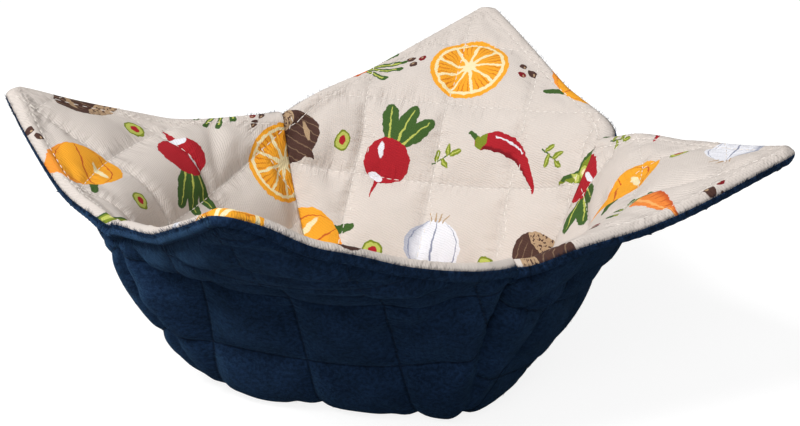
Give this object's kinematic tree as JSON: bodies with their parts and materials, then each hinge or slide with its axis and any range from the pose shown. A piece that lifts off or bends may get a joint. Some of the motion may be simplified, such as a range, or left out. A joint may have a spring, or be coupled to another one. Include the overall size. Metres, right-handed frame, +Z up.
{
  "type": "microwave bowl cozy",
  "caption": "Quilted cotton bowl holder: a darted square pad that stands as a bowl with corner flaps to grip, for lifting a hot bowl.",
  "frame": {"origin": "under the middle of the overall box, on the surface that the cozy stands on", "axes": "+Z up out of the bowl; the cloth corners point along +X, -X, +Y and -Y, and -Y is the front corner of the picture"},
  "size_m": [0.2667, 0.2591, 0.0932],
  "materials": {
    "outer_cotton": "navy brushed cotton, soft nap, quilted with navy thread",
    "lining_cotton": null,
    "batting": "undyed cotton wadding, hidden between the cloths"
  },
  "bodies": {
    "root": {"outer_cover": "outer_cotton", "outer_batting": "batting", "lining_batting": "batting", "lining": "lining_cotton"}
  },
  "joints": []
}
